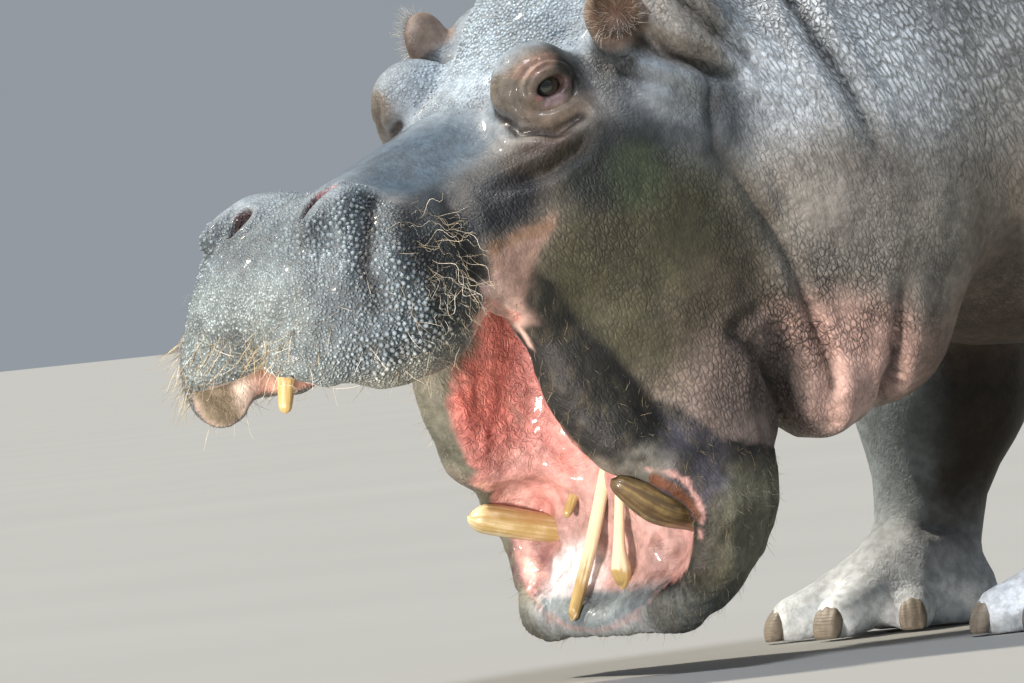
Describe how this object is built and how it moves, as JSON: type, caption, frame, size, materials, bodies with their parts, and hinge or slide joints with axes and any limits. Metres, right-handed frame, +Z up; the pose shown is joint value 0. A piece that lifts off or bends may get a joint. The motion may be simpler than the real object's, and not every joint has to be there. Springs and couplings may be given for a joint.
{
  "type": "hippopotamus",
  "caption": "Life-size still model of a standing adult hippopotamus with its head low and its mouth wide open.",
  "frame": {"origin": "middle of the model's bounding box in X and Y, on the floor under the soles", "axes": "+X to the animal's left, +Y from its muzzle to its tail, +Z up; the animal faces -Y"},
  "size_m": [1.0668, 3.2988, 1.4187],
  "materials": {
    "hide": "wet, cracked grey-brown hide",
    "ear": "soft, hairy rim",
    "mouth": "wet pink lining",
    "ivory": "stained ivory",
    "eye": "wet and glossy",
    "nail": "horn"
  },
  "bodies": {
    "root": {"ear_left": "ear", "eye_left": "eye", "upper_tusk_left": "ivory", "lower_tusk_left": "ivory", "side_incisor_left": "ivory", "front_incisor_left": "ivory", "ear_right": "ear", "eye_right": "eye", "upper_tusk_right": "ivory", "lower_tusk_right": "ivory", "side_incisor_right": "ivory", "front_incisor_right": "ivory", "head": "hide", "jaw": "hide", "neck": "hide", "trunk": "hide", "tail": "hide", "upper_incisor": "ivory", "tongue": "mouth", "fore_left_leg": "hide", "fore_left_foot": "hide", "fore_left_nail_1": "nail", "fore_left_nail_2": "nail", "fore_left_nail_3": "nail", "fore_left_nail_4": "nail", "fore_right_leg": "hide", "fore_right_foot": "hide", "fore_right_nail_1": "nail", "fore_right_nail_2": "nail", "fore_right_nail_3": "nail", "fore_right_nail_4": "nail", "hind_left_leg": "hide", "hind_left_foot": "hide", "hind_left_nail_1": "nail", "hind_left_nail_2": "nail", "hind_left_nail_3": "nail", "hind_left_nail_4": "nail", "hind_right_leg": "hide", "hind_right_foot": "hide", "hind_right_nail_1": "nail", "hind_right_nail_2": "nail", "hind_right_nail_3": "nail", "hind_right_nail_4": "nail"}
  },
  "joints": []
}
